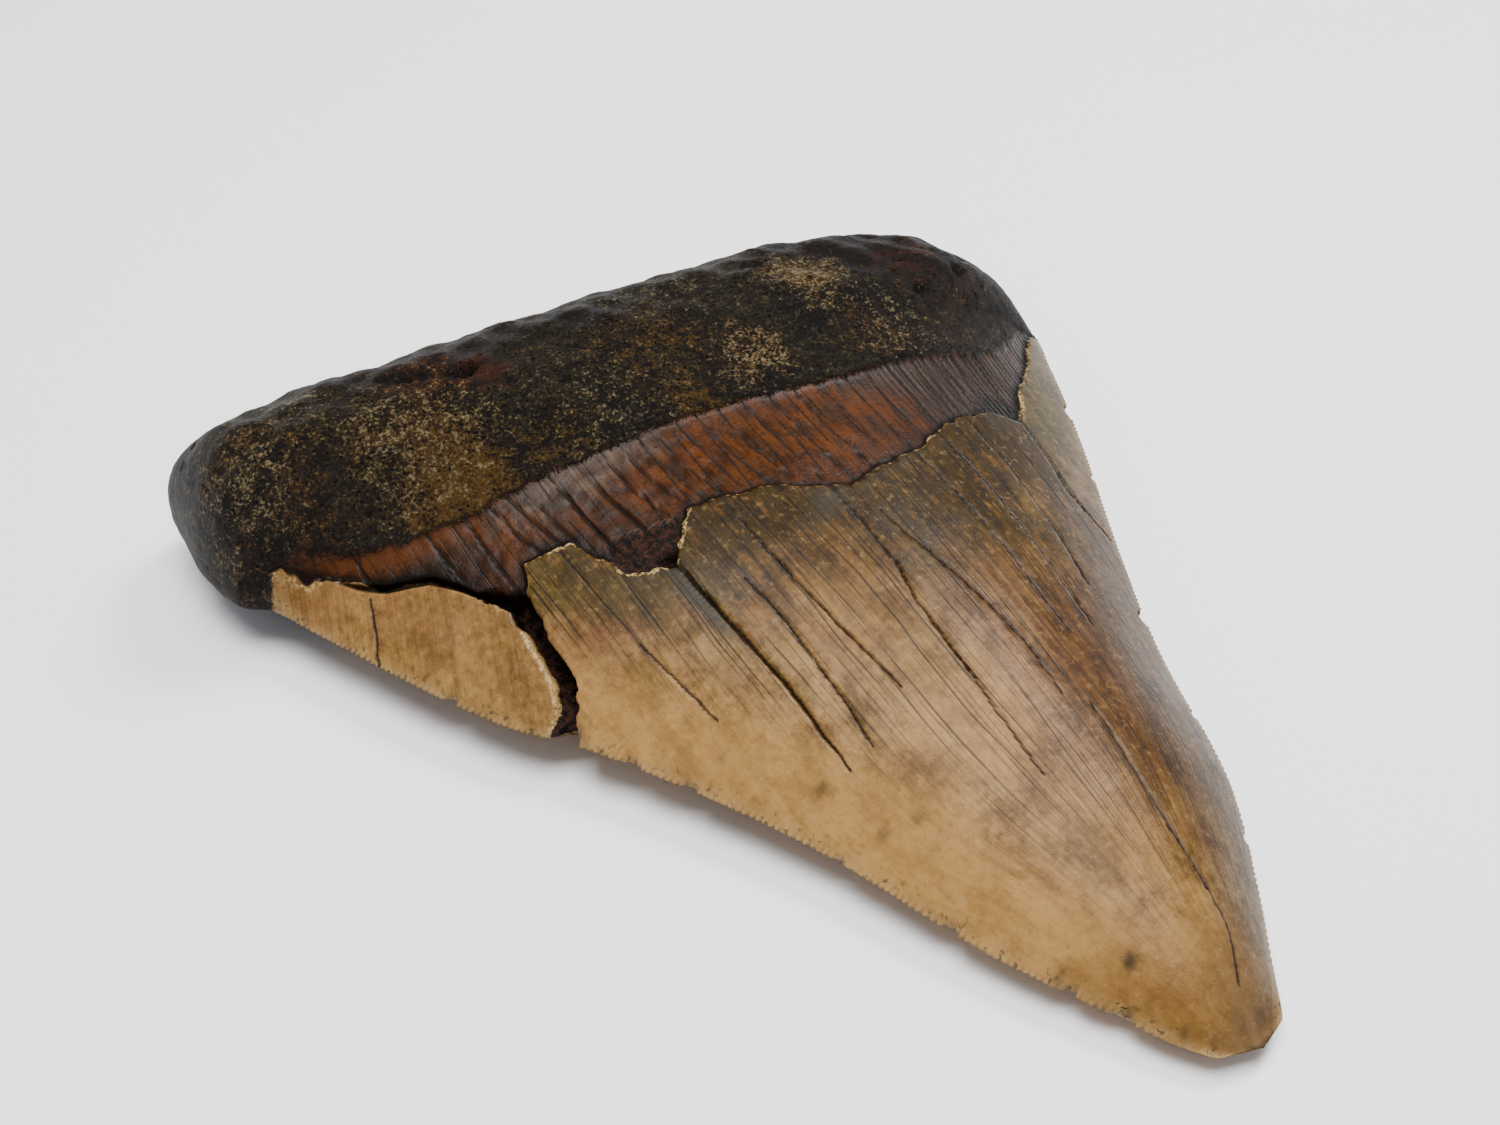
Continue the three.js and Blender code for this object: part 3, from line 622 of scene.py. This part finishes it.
def storeFields(data, places, fields):
    # borders, damage, grain and tint fields that the finish reads, with the painted shade in the root's
    # hollows kept beside the damage, and the painted shade on the crown
    x, y, _ = places.T
    upper = fields["upper"]
    wander = rough(places, 9, 21)
    left, right = leftEdge(y), rightEdge(y)
    fromLeft = x - left + 1.5 * wander
    fromRight = right - x + 1.5 * wander
    inRoot, inEnamel = fields["inRoot"], fields["inEnamel"]
    x = x + 2.2 * rough(places, 4.5, 22) + 1.2 * rough(places, 1.8, 23)
    y = y + 2.2 * rough(places, 4.5, 24) + 1.2 * rough(places, 1.8, 25)
    rootTint = np.stack((
        patchField(x, y, "ochre"), patchField(x, y, "rootRed"),
        patchField(x, y, "rootPale"), fade(wander, -0.6, 0.4) * fade(x, 32, 18)), 1)
    under = np.stack((fade(wander, 0, 0.6), fade(-wander, 0.3, 0.8), fade(wander, -0.3, 0.5)), 1)
    rootTint[:, :3] = np.where(upper[:, None] > 0, rootTint[:, :3], under)
    bandTint = np.stack((
        patchField(x, y, "orange"), patchField(x, y, "greyPlates"),
        fade(x + 3 * wander, 16, 26), fade(x + 3 * wander, -32, -40)), 1)
    oliveReach = np.where(x < -19, 6.5, 13)
    oliveBand = fade(inEnamel + 3 * wander, oliveReach, 2) * fade(x, -34, -28) * 0.85
    creamStrip = fade(fromLeft, 13, 5) * np.where((x < -33) & (y > -39), 0.5, 0.9)
    crownTint = np.stack((
        np.maximum(patchField(x, y, "olive"), oliveBand),
        patchField(x, y, "rosy"),
        np.maximum(patchField(x, y, "cream"), creamStrip),
        fade(fromRight, 11, 3)), 1)
    tint = np.where((inEnamel > 0)[:, None], crownTint, bandTint)
    tint = np.where((inRoot > 0)[:, None], rootTint, tint)
    x, y, _ = places.T
    # the loose piece at the left shoulder has its own grain, and no dark lines
    loose = (x < -34) & (y > -38) & (inEnamel > 0) & (upper > 0)
    shoulder = fade(x, 33, 36.5) * fade(y, -62, -46)
    lines = (1 - 0.8 * shoulder) * fade(fromLeft, 7, 15) * fade(y + 3 * wander, -92, -74)
    lines = lines * fade(inEnamel, 0, 0.3)
    lines = np.where(upper > 0, lines, 0.35 * fade(y, -75, -50))
    stain = patchField(x, y, "stain")
    for reach, strength, path in stainPaths:
        away, share = pathDistance(x + 0.4 * wander, y, path)
        stain = np.maximum(stain, strength * fade(away, reach, 0) * fade(share, 1, 0.6))
    stain = stain * upper
    for reach, strength, path in paleRims:
        away, share = pathDistance(x, y, path)
        stain = stain - 2 * strength * fade(away, reach, 0.4 * reach) * upper
    # painted shade: the crown's colour darkens towards the bourlette, the right side and the tip,
    # standing in for how the light falls off there
    paintedShade = np.maximum(fade(inEnamel + 5 * wander, 34, 8), fade(fromRight + 2 * wander, 24, 9))
    paintedShade = np.maximum(paintedShade * fade(fromLeft, 6, 30), fade(y + 3 * wander, -82, -92) * 0.7)
    paintedShade = np.where(loose, 0.25, paintedShade * (1 - 0.8 * shoulder)) * upper
    acrossGrain = np.where(loose, 0.95 * x - 0.32 * y, x / grainWidth(y))
    columns = {
        "borders": np.stack((inRoot.clip(-6, 6), inEnamel.clip(-6, 6), fields["toRim"].clip(0, 20)), 1),
        "damageAndHollowShade": np.stack((fields["crack"], fields["broken"], fields["hollow"]), 1),
        "grain": np.stack((acrossGrain, y, np.where(upper > 0, 0, 40)), 1),
        "marks": np.stack((lines, stain, fields["notch"]), 1),
    }
    for name, values in columns.items():
        attribute = data.attributes.new(name, "FLOAT_VECTOR", "POINT")
        attribute.data.foreach_set("vector", values.astype(np.float32).ravel())
    attribute = data.attributes.new("tint", "FLOAT_COLOR", "POINT")
    attribute.data.foreach_set("color", tint.astype(np.float32).ravel())
    # the painted shade on the crown, kept as its own field
    attribute = data.attributes.new("paintedShade", "FLOAT", "POINT")
    attribute.data.foreach_set("value", paintedShade.astype(np.float32))


def makeTooth():
    whole = skinMesh()
    data = bpy.data.meshes.new("fossilTooth")
    places = np.array([v.co for v in whole.verts], float)
    normals = np.array([v.normal for v in whole.verts], float)
    relief, fields = reliefOf(places, normals)
    moved = places + normals * relief[:, None]
    moved[:, 2] = np.maximum(moved[:, 2], 0)
    middleX = (leftEdge(edgeYs).min() + rightEdge(edgeYs).max()) / 2
    shift = (-middleX, cadLow.y * 1000 - tooth["tipY"], 0)
    for vert, place in zip(whole.verts, (moved + shift) / 1000):
        vert.co = place
    for face in whole.faces:
        face.smooth = True
    whole.to_mesh(data)
    whole.free()
    storeFields(data, places, fields)
    piece = bpy.data.objects.new("fossilTooth", data)
    bpy.context.scene.collection.objects.link(piece)
    triangles = sum(len(p.vertices) - 2 for p in data.polygons)
    print("tooth:", len(data.vertices), "points", triangles, "triangles")
    return piece


piece = makeTooth()


# The finish of each part of the tooth
finishes = {
    "enamel": {
        "tan": "7a5c32", "pale": "8e7045", "cream": "a47b46", "olive": "4e3f14", "rosy": "6f4a2e",
        "grey": "7a6853", "streak": "8a7a66", "fleck": "785022", "line": "0d0804", "stain": "2c261b",
        # one of these colours is multiplied in as painted shade over the upper crown, the right side and
        # the tip
        "rim": "a98d60", "paintedShade": "aca084", "cloud": "c0b094", "roughness": 0.29},
    "bourlette": {
        "orange": "271100", "amber": "4d2500", "grey": "2e2016", "greyPale": "544232", "brown": "1d120b",
        "ridge": "3b2c23", "red": "2e170a", "strip": "49260f", "dark": "060302", "roughness": 0.26},
    "root": {
        "dark": "090604", "brown": "21150d", "speck": "786c50", "ochre": "48310d", "olive": "2a2515",
        # the near-black serves both the real pores and the painted shade in the hollows
        "red": "35140a", "poresAndHollowShade": "010101", "roughness": 0.46},
    "dentine": {"dark": "0c0705", "brown": "361c10", "speck": "5a432c", "roughness": 0.5},
    "specular": 0.11,
    "crack": "060403",
}


def paint(hexColour):
    # display colour as hex to a linear colour
    parts = [int(hexColour[i:i + 2], 16) / 255 for i in (0, 2, 4)]
    return tuple(c / 12.92 if c <= 0.04045 else ((c + 0.055) / 1.055) ** 2.4 for c in parts) + (1,)


class NodeKit:
    # adds nodes to a material's tree; a value is a number, a colour or another node's output
    def __init__(self, tree):
        self.tree = tree

    def put(self, socket, value):
        if isinstance(value, bpy.types.NodeSocket):
            self.tree.links.new(value, socket)
        elif isinstance(value, str):
            socket.default_value = paint(value)
        else:
            socket.default_value = value

    def add(self, kind, inputs=(), output=0, **settings):
        made = self.tree.nodes.new(kind)
        for name, value in settings.items():
            setattr(made, name, value)
        for name, value in dict(inputs).items():
            self.put(made.inputs[name], value)
        return made.outputs[output]

    def math(self, operation, *values):
        return self.add("ShaderNodeMath", dict(enumerate(values)), operation=operation)

    def times(self, a, b):
        return self.math("MULTIPLY", a, b)

    def timesPlus(self, a, b, c):
        return self.math("MULTIPLY_ADD", a, b, c)

    def most(self, a, b):
        return self.math("MAXIMUM", a, b)

    def fade(self, value, low, high, toLow=0.0, toHigh=1.0):
        inputs = {"Value": value, "From Min": low, "From Max": high, "To Min": toLow, "To Max": toHigh}
        return self.add("ShaderNodeMapRange", inputs, interpolation_type="SMOOTHSTEP")

    def mix(self, factor, a, b, blend="MIX"):
        inputs = {0: factor, 6: a, 7: b}
        return self.add("ShaderNodeMix", inputs, 2, data_type="RGBA", blend_type=blend)

    def shadeOver(self, factor, colour, over):
        return self.mix(factor, colour, over, "MULTIPLY")

    def bend(self, value, by, amount):
        # shifts a value by a noise that lies about one half
        return self.timesPlus(self.math("SUBTRACT", by, 0.5), amount, value)

    def stretch(self, vector, scale, shift=(0, 0, 0)):
        return self.add("ShaderNodeMapping", {"Vector": vector, "Location": shift, "Scale": scale})

    def noise(self, vector, scale, detail=3.0, roughness=0.55, distortion=0.0):
        return self.add("ShaderNodeTexNoise", {"Vector": vector, "Scale": scale, "Detail": detail,
                                               "Roughness": roughness, "Distortion": distortion})

    def field(self, name, output="Vector"):
        made = self.tree.nodes.new("ShaderNodeAttribute")
        made.attribute_name = name
        return made.outputs[output]

    def split(self, vector):
        made = self.tree.nodes.new("ShaderNodeSeparateXYZ")
        self.tree.links.new(vector, made.inputs[0])
        return made.outputs[:]


def grainLines(kit, grain, spacing, width, seed, length):
    # thin broken lines along the grain, at uneven places and of uneven length
    across, along, _ = kit.split(grain)
    wobble = kit.noise(kit.stretch(grain, (0.12, 0.03, 1), (seed * 3.7, 0, 0)), 1.0, 2.0)
    place = kit.timesPlus(wobble, spacing * 1.1, across)
    place = kit.math("DIVIDE", place, spacing)
    cell = kit.math("FLOOR", place)
    within = kit.math("FRACT", place)
    chance = kit.add("ShaderNodeTexWhiteNoise", {"W": kit.math("ADD", cell, seed * 31.7)},
                       noise_dimensions="1D")
    centre = kit.timesPlus(chance, 0.6, 0.2)
    away = kit.times(kit.math("ABSOLUTE", kit.math("SUBTRACT", within, centre)), spacing)
    run = kit.times(along, 1 / length)
    reach = kit.add("ShaderNodeCombineXYZ", {0: kit.times(cell, 7.31), 1: run, 2: seed})
    there = kit.noise(reach, 1.0, 2.0)
    wide = kit.timesPlus(there, width * 1.2, width * 0.3)
    near = kit.math("SMOOTH_MIN", kit.math("DIVIDE", away, wide), 1.0, 0.3)
    line = kit.most(kit.math("SUBTRACT", 1.0, near), 0.0)
    return kit.times(line, kit.fade(there, 0.41, 0.53))


def enamelFinish(kit, place, grain, tint, marks, borders):
    look = finishes["enamel"]
    olive, rosy, cream = kit.split(tint)
    grey = kit.field("tint", "Alpha")
    lines, stain, notch = marks
    toRim = borders[2]
    paintedShade = kit.field("paintedShade", "Fac")
    wide = kit.noise(place, 0.12, 3.0)
    mottle = kit.noise(place, 1.2, 4.0, 0.65)
    streak = kit.noise(kit.stretch(grain, (0.8, 0.03, 1)), 1.0, 4.0, 0.62, 0.2)
    fine = kit.noise(kit.stretch(grain, (3.4, 0.1, 1)), 1.0, 3.0, 0.65)
    calm = kit.math("SUBTRACT", 1.0, kit.times(cream, 0.9))
    blotch = kit.noise(kit.stretch(place, (0.3, 0.2, 0.3), (0, 7, 0)), 1.0, 5.0, 0.7)
    cast = kit.noise(kit.stretch(place, (0.34, 0.22, 0.34), (4, 0, 0)), 1.0, 5.0, 0.7)
    colour = kit.mix(kit.fade(wide, 0.38, 0.62), look["tan"], look["pale"])
    creamy = kit.times(cream, kit.fade(wide, 0.2, 0.7, 0.7, 1.0))
    colour = kit.mix(creamy, colour, look["cream"])
    flushed = kit.times(rosy, kit.fade(streak, 0.35, 0.6, 0.45, 0.95))
    colour = kit.mix(flushed, colour, look["rosy"])
    colour = kit.mix(kit.times(grey, 0.7), colour, look["grey"])
    blotched = kit.timesPlus(calm, 0.5, 0.3)
    reddened = kit.times(kit.fade(blotch, 0.48, 0.62, 0.0, 0.55), blotched)
    colour = kit.mix(reddened, colour, look["rosy"])
    greened = kit.times(kit.fade(cast, 0.48, 0.64, 0.0, 0.45), calm)
    colour = kit.mix(greened, colour, look["olive"])
    oliveMask = kit.timesPlus(olive, 0.75, kit.times(blotch, 0.7))
    colour = kit.mix(kit.fade(oliveMask, 0.42, 0.85, 0.0, 0.95), colour, look["olive"])
    # painted shade over the upper crown, the right side and the tip
    colour = kit.shadeOver(paintedShade, colour, look["paintedShade"])
    clouded = kit.times(kit.fade(cast, 0.42, 0.6, 0.0, 0.8), blotched)
    colour = kit.shadeOver(clouded, colour, look["cloud"])
    edge = kit.times(kit.fade(toRim, 1.3, 0.1), kit.fade(mottle, 0.35, 0.6, 0.1, 0.6))
    colour = kit.mix(edge, colour, look["rim"])
    fleck = kit.noise(kit.stretch(grain, (0.7, 0.25, 1), (5, 3, 0)), 1.0, 4.0, 0.75)
    fleck = kit.times(kit.fade(fleck, 0.5, 0.66, 0.0, 0.32), kit.times(lines, calm))
    colour = kit.mix(fleck, colour, look["fleck"])
    streaked = kit.times(kit.fade(streak, 0.48, 0.66, 0.0, 0.45), calm)
    colour = kit.shadeOver(streaked, colour, look["streak"])
    grained = kit.times(kit.fade(fine, 0.46, 0.64, 0.0, 0.45), calm)
    colour = kit.shadeOver(grained, colour, look["streak"])
    spotty = kit.times(kit.fade(mottle, 0.48, 0.68, 0.0, 0.5), blotched)
    colour = kit.shadeOver(spotty, colour, look["streak"])
    colour = kit.mix(kit.fade(mottle, 0.45, 0.3, 0.0, 0.2), colour, look["rim"])
    # darker in the serration notches
    colour = kit.shadeOver(kit.times(notch, 0.5), colour, look["streak"])
    pits = kit.times(kit.fade(toRim, 2.0, 0.4), kit.fade(mottle, 0.58, 0.64))
    colour = kit.mix(kit.times(pits, 0.6), colour, look["stain"])
    hair = kit.times(grainLines(kit, grain, 1.1, 0.1, 3, 14.0), 0.7)
    hair = kit.most(hair, grainLines(kit, grain, 2.1, 0.15, 1, 26.0))
    hair = kit.most(hair, grainLines(kit, grain, 3.3, 0.18, 2, 34.0))
    hair = kit.times(hair, lines)
    colour = kit.mix(kit.times(hair, 0.95), colour, look["line"])
    stainMask = kit.times(kit.fade(stain, 0.0, 1.0), kit.fade(mottle, 0.25, 0.55, 0.8, 1.0))
    colour = kit.mix(stainMask, colour, look["stain"])
    chipped = kit.noise(place, 2.6, 2.0, 0.6)
    paleMask = kit.times(kit.fade(stain, -0.5, -1.6), kit.fade(chipped, 0.42, 0.56, 0.0, 0.85))
    colour = kit.mix(paleMask, colour, look["rim"])
    relief = kit.timesPlus(streak, 0.02, kit.times(fine, 0.012))
    relief = kit.timesPlus(hair, -0.016, relief)
    relief = kit.timesPlus(mottle, 0.02, relief)
    grit = kit.noise(place, 5.0, 2.0, 0.75)
    relief = kit.timesPlus(grit, 0.034, relief)
    roughness = kit.timesPlus(mottle, 0.22, look["roughness"] - 0.1)
    return colour, relief, roughness


def bourletteFinish(kit, place, grain, tint, stain, borders):
    look = finishes["bourlette"]
    orange, grey, ridged = kit.split(tint)
    strip = kit.field("tint", "Alpha")
    inRoot, inEnamel, _ = borders
    cloud = kit.noise(place, 0.5, 4.0, 0.65)
    small = kit.noise(place, 2.2, 4.0, 0.7)
    ridge = kit.noise(kit.stretch(grain, (1.9, 0.07, 1), (9, 0, 0)), 1.0, 4.0, 0.6)
    bar = kit.noise(kit.stretch(grain, (0.55, 0.2, 1), (2, 5, 0)), 1.0, 4.0, 0.65)
    colour = kit.mix(kit.fade(cloud, 0.42, 0.58), look["brown"], look["red"])
    lit = kit.mix(kit.fade(bar, 0.36, 0.64), look["orange"], look["amber"])
    lit = kit.mix(kit.fade(cloud, 0.45, 0.33, 0.0, 0.7), lit, look["brown"])
    colour = kit.mix(kit.times(orange, kit.fade(small, 0.2, 0.45, 0.75, 1.0)), colour, lit)
    plate = kit.mix(kit.fade(bar, 0.38, 0.6), look["grey"], look["greyPale"])
    plate = kit.mix(kit.fade(cloud, 0.5, 0.36, 0.0, 0.8), plate, look["brown"])
    plate = kit.mix(kit.fade(small, 0.54, 0.64, 0.0, 0.6), plate, look["strip"])
    colour = kit.mix(kit.times(grey, kit.fade(inRoot, -5.5, -2.5, 0.15, 1.0)), colour, plate)
    lined = kit.mix(kit.fade(ridge, 0.42, 0.6), look["brown"], look["ridge"])
    colour = kit.mix(kit.times(ridged, 0.85), colour, lined)
    nearRoot = kit.fade(kit.bend(inRoot, small, 4.0), -3.4, -1.2)
    lefthand = kit.mix(nearRoot, look["brown"], look["strip"])
    colour = kit.mix(kit.times(strip, 0.9), colour, lefthand)
    low = kit.fade(kit.bend(inEnamel, small, 3.0), -1.3, -0.2)
    colour = kit.mix(kit.times(low, 0.75), colour, look["dark"])
    gloom = kit.most(kit.times(ridged, 0.7), 0.12)
    colour = kit.mix(kit.times(kit.fade(ridge, 0.48, 0.38), gloom), colour, look["dark"])
    hair = kit.times(grainLines(kit, grain, 1.3, 0.12, 4, 9.0), 0.55)
    hair = kit.most(hair, grainLines(kit, grain, 2.6, 0.22, 5, 12.0))
    colour = kit.mix(kit.times(hair, 0.95), colour, look["dark"])
    colour = kit.mix(kit.fade(stain, 0.0, 0.9, 0.0, 0.9), colour, look["dark"])
    rise = kit.timesPlus(ridged, 0.045, 0.012)
    relief = kit.timesPlus(ridge, rise, kit.times(small, 0.07))
    relief = kit.timesPlus(hair, -0.03, relief)
    return colour, relief, kit.timesPlus(small, 0.3, look["roughness"] - 0.12)


def rootFinish(kit, place, tint, hollow):
    look = finishes["root"]
    ochre, red, pale = kit.split(tint)
    greenish = kit.field("tint", "Alpha")
    cloud = kit.noise(place, 0.16, 5.0, 0.7)
    patchy = kit.noise(place, 0.6, 5.0, 0.75)
    grains = kit.noise(place, 2.4, 4.0, 0.8)
    fine = kit.noise(place, 5.5, 2.0, 0.75)
    cells = kit.add("ShaderNodeTexVoronoi", {"Vector": place, "Scale": 1.1, "Randomness": 1.0})
    sand = kit.add("ShaderNodeTexVoronoi", {"Vector": place, "Scale": 3.6, "Randomness": 1.0}, "Color")
    sand = kit.split(sand)[0]
    mask = kit.timesPlus(grains, 0.5, kit.times(cloud, 0.5))
    colour = kit.mix(kit.fade(mask, 0.44, 0.58), look["dark"], look["brown"])
    mask = kit.timesPlus(grains, 0.4, kit.times(patchy, 0.6))
    mask = kit.timesPlus(greenish, 0.08, mask)
    colour = kit.mix(kit.fade(mask, 0.52, 0.64, 0.0, 0.7), colour, look["olive"])
    mask = kit.timesPlus(red, 0.24, patchy)
    colour = kit.mix(kit.fade(mask, 0.58, 0.74, 0.0, 0.85), colour, look["red"])
    mask = kit.timesPlus(grains, 0.5, kit.times(patchy, 0.5))
    mask = kit.timesPlus(ochre, 0.2, mask)
    colour = kit.mix(kit.fade(mask, 0.57, 0.7, 0.0, 0.9), colour, look["ochre"])
    mask = kit.timesPlus(grains, 0.3, kit.times(patchy, 0.38))
    mask = kit.timesPlus(fine, 0.2, mask)
    mask = kit.timesPlus(sand, 0.12, mask)
    mask = kit.timesPlus(pale, 0.11, mask)
    mask = kit.timesPlus(red, -0.05, mask)
    speck = kit.fade(mask, 0.588, 0.67, 0.0, 0.8)
    colour = kit.mix(speck, colour, look["speck"])
    poresAndHollowShade = kit.times(kit.fade(cells, 0.3, 0.14), kit.fade(cloud, 0.42, 0.52))
    poresAndHollowShade = kit.most(poresAndHollowShade, kit.fade(fine, 0.42, 0.32, 0.0, 0.9))
    # painted shade darkens the root's hollows along with the real pores
    poresAndHollowShade = kit.most(poresAndHollowShade, kit.times(hollow, 0.85))
    colour = kit.mix(poresAndHollowShade, colour, look["poresAndHollowShade"])
    relief = kit.timesPlus(grains, 0.42, kit.times(fine, 0.2))
    relief = kit.timesPlus(poresAndHollowShade, -0.25, relief)
    return colour, relief, kit.timesPlus(fine, 0.3, look["roughness"] - 0.1)


def fossilFinish():
    finish = bpy.data.materials.new("fossil")
    finish.use_nodes = True
    tree = finish.node_tree
    shader = tree.nodes["Principled BSDF"]
    kit = NodeKit(tree)
    coordinates = tree.nodes.new("ShaderNodeTexCoord").outputs["Object"]
    place = kit.stretch(coordinates, (1000, 1000, 1000))
    grain = kit.field("grain")
    tint = kit.field("tint", "Color")
    borderParts = kit.split(kit.field("borders"))
    marks = kit.split(kit.field("marks"))
    crack, broken, hollow = kit.split(kit.field("damageAndHollowShade"))
    inRoot, inEnamel, _ = borderParts

    enamel = enamelFinish(kit, place, grain, tint, marks, borderParts)
    bourlette = bourletteFinish(kit, place, grain, tint, marks[1], borderParts)
    root = rootFinish(kit, place, tint, hollow)
    look = finishes["dentine"]
    crumb = kit.noise(place, 1.3, 4.0, 0.7)
    specks = kit.noise(place, 3.2, 3.0, 0.75)
    rubble = kit.mix(kit.fade(crumb, 0.44, 0.62), look["dark"], look["brown"])
    rubble = kit.mix(kit.fade(specks, 0.58, 0.68, 0.0, 0.45), rubble, look["speck"])
    rubbleRelief = kit.timesPlus(specks, 0.3, kit.times(crumb, 0.35))
    dentine = (rubble, rubbleRelief, look["roughness"])

    onEnamel = kit.fade(inEnamel, -0.05, 0.08)
    onRoot = kit.fade(kit.bend(inRoot, specks, 2.6), -0.3, 0.3)
    # darker along the bourlette just below the enamel's ledge
    belowLedgeReach = kit.timesPlus(kit.fade(crumb, 0.35, 0.65), -0.9, -0.35)
    belowLedge = kit.add("ShaderNodeMapRange", {"Value": inEnamel, "From Min": belowLedgeReach, "From Max": 0.0})
    belowLedge = kit.times(belowLedge, kit.fade(inEnamel, 0.1, 0.0))
    rootSeam = kit.times(kit.fade(inRoot, -0.5, -0.1), kit.fade(inRoot, 0.5, 0.0))
    dark = finishes["bourlette"]["dark"]
    rimLight = kit.times(kit.fade(inEnamel, 0.4, 0.12), kit.fade(crumb, 0.52, 0.6))

    rimmed = kit.mix(kit.times(rimLight, 0.8), enamel[0], finishes["enamel"]["rim"])
    colour = kit.mix(onEnamel, bourlette[0], rimmed)
    colour = kit.mix(onRoot, colour, root[0])
    colour = kit.mix(kit.times(belowLedge, 0.75), colour, dark)
    rootShadow = kit.times(rootSeam, kit.fade(crumb, 0.4, 0.6, 0.1, 0.7))
    colour = kit.mix(rootShadow, colour, dark)
    bare = kit.fade(broken, 0.35, 0.6)
    colour = kit.mix(bare, colour, dentine[0])
    colour = kit.mix(kit.times(crack, 0.95), colour, finishes["crack"])

    def blended(index):
        value = bourlette[index]
        for mask, other in ((onEnamel, enamel), (onRoot, root), (broken, dentine)):
            inputs = {0: mask, 2: value, 3: other[index]}
            value = kit.add("ShaderNodeMix", inputs, data_type="FLOAT")
        return value

    bump = kit.add("ShaderNodeBump", {"Strength": 1.0, "Distance": 0.001, "Height": blended(1)})
    kit.put(shader.inputs["Base Color"], colour)
    kit.put(shader.inputs["Roughness"], kit.most(blended(2), kit.times(crack, 0.8)))
    kit.put(shader.inputs["Normal"], bump)
    shader.inputs["Specular IOR Level"].default_value = finishes["specular"]
    return finish


piece.data.materials.append(fossilFinish())
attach(piece, "root")
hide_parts("tooth")
print("tooth in place")

# Floor, light and camera
studio = {
    "floorSize": 3.0,
    "floorColour": (0.93, 0.93, 0.94, 1),
    "worldColour": (0.9, 0.94, 1.0, 1),
    "worldStrength": 0.42,
    "lamps": [  # where, size, watts
        ((-0.04, 0.02, 0.75), 0.5, 10.4),
        ((0.42, 0.14, 0.57), 0.2, 4.4)],
    "eye": (-0.08225, -0.11565, 0.133),
    "turn": -32.0,
    "tilt": 40.0,
    "lens": 40.8,
}


def makeStudio():
    bm = bmesh.new()
    bmesh.ops.create_grid(bm, x_segments=1, y_segments=1, size=studio["floorSize"] / 2)
    data = bpy.data.meshes.new("floor")
    bm.to_mesh(data)
    bm.free()
    floor = bpy.data.objects.new("floor", data)
    bpy.context.scene.collection.objects.link(floor)
    finish = bpy.data.materials.new("paleTable")
    finish.use_nodes = True
    shader = finish.node_tree.nodes["Principled BSDF"]
    shader.inputs["Base Color"].default_value = studio["floorColour"]
    shader.inputs["Roughness"].default_value = 0.6
    data.materials.append(finish)

    world = bpy.data.worlds.new("softRoom")
    world.use_nodes = True
    backdrop = world.node_tree.nodes["Background"]
    backdrop.inputs["Color"].default_value = studio["worldColour"]
    backdrop.inputs["Strength"].default_value = studio["worldStrength"]
    bpy.context.scene.world = world

    for where, size, watts in studio["lamps"]:
        lamp = bpy.data.lights.new("softLamp", "AREA")
        lamp.energy = watts
        lamp.size = size
        holder = bpy.data.objects.new("softLamp", lamp)
        holder.location = where
        holder.rotation_euler = (-Vector(where)).to_track_quat("-Z", "Y").to_euler()
        bpy.context.scene.collection.objects.link(holder)

    eye = bpy.data.cameras.new("photoCamera")
    eye.lens = studio["lens"]
    eye.sensor_width = 36
    eye.clip_start = 0.01
    camera = bpy.data.objects.new("photoCamera", eye)
    camera.location = studio["eye"]
    turn, tilt = math.radians(studio["turn"]), math.radians(studio["tilt"])
    look = Vector((-math.sin(turn) * math.cos(tilt), math.cos(turn) * math.cos(tilt), -math.sin(tilt)))
    camera.rotation_euler = look.to_track_quat("-Z", "Y").to_euler()
    bpy.context.scene.collection.objects.link(camera)
    bpy.context.scene.camera = camera


makeStudio()
print("studio ready")
